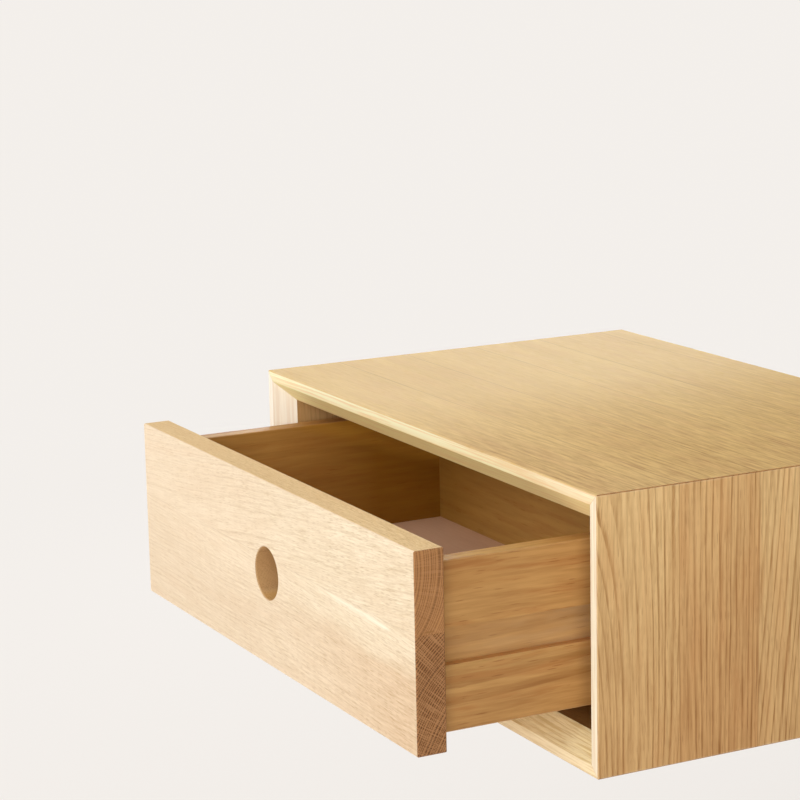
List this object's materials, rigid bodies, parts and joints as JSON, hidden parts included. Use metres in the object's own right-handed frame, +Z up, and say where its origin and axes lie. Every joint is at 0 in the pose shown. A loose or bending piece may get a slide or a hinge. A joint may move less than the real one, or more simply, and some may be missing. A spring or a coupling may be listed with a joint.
{
  "type": "wall-mounted drawer unit",
  "caption": "Oak box with mitred corners and a bevelled front that hangs on a wall, with one drawer on wooden side runners and a round finger hole in its front.",
  "frame": {"origin": "on the wall plane, at the centre of the four wall screw holes, which is half the width and half the height of the case", "axes": "+X to the right seen from the front, +Y into the wall, +Z up; the drawer opens along -Y"},
  "size_m": [0.45, 0.406, 0.17],
  "materials": {
    "oak": "clear matt oil on straight-grained oak",
    "oak_front": "clear matt oil on pale oak",
    "pine": "clear matt lacquer on streaky pine",
    "beech": "planed and unfinished",
    "back_board": "oak-veneered board, matt",
    "bottom_board": "smooth thin board, matt",
    "zinc_steel": "zinc plated",
    "felt": "pressed felt"
  },
  "bodies": {
    "cabinet": {"top_panel": "oak", "bottom_panel": "oak", "left_panel": "oak", "right_panel": "oak", "corner_splines": "beech", "back_panel": "back_board", "upper_rail": "pine", "lower_rail": "pine", "rail_dowels": "beech", "left_runner": "beech", "right_runner": "beech", "runner_screws": "zinc_steel", "buffer_pads": "felt", "stop_batten": "pine", "batten_screws": "zinc_steel"},
    "drawer": {"drawer_front": "oak_front", "drawer_left_side": "pine", "drawer_right_side": "pine", "drawer_back": "pine", "drawer_bottom": "bottom_board", "front_dowels": "beech", "back_screws": "zinc_steel", "bottom_screws": "zinc_steel", "button_washer": "zinc_steel", "button_screw": "zinc_steel"},
    "stop_button": {"turn_button": "beech"}
  },
  "joints": [
    {"name": "drawer_slide", "type": "slide", "parent": "cabinet", "child": "drawer", "axis": [0, -1, 0], "range_m": [-0.12, 0.03]},
    {"name": "button_turn", "type": "hinge", "parent": "drawer", "child": "stop_button", "pos_m": [0, -0.169, 0.041], "axis": [0, 1, 0], "range_deg": [-90, 90]}
  ]
}
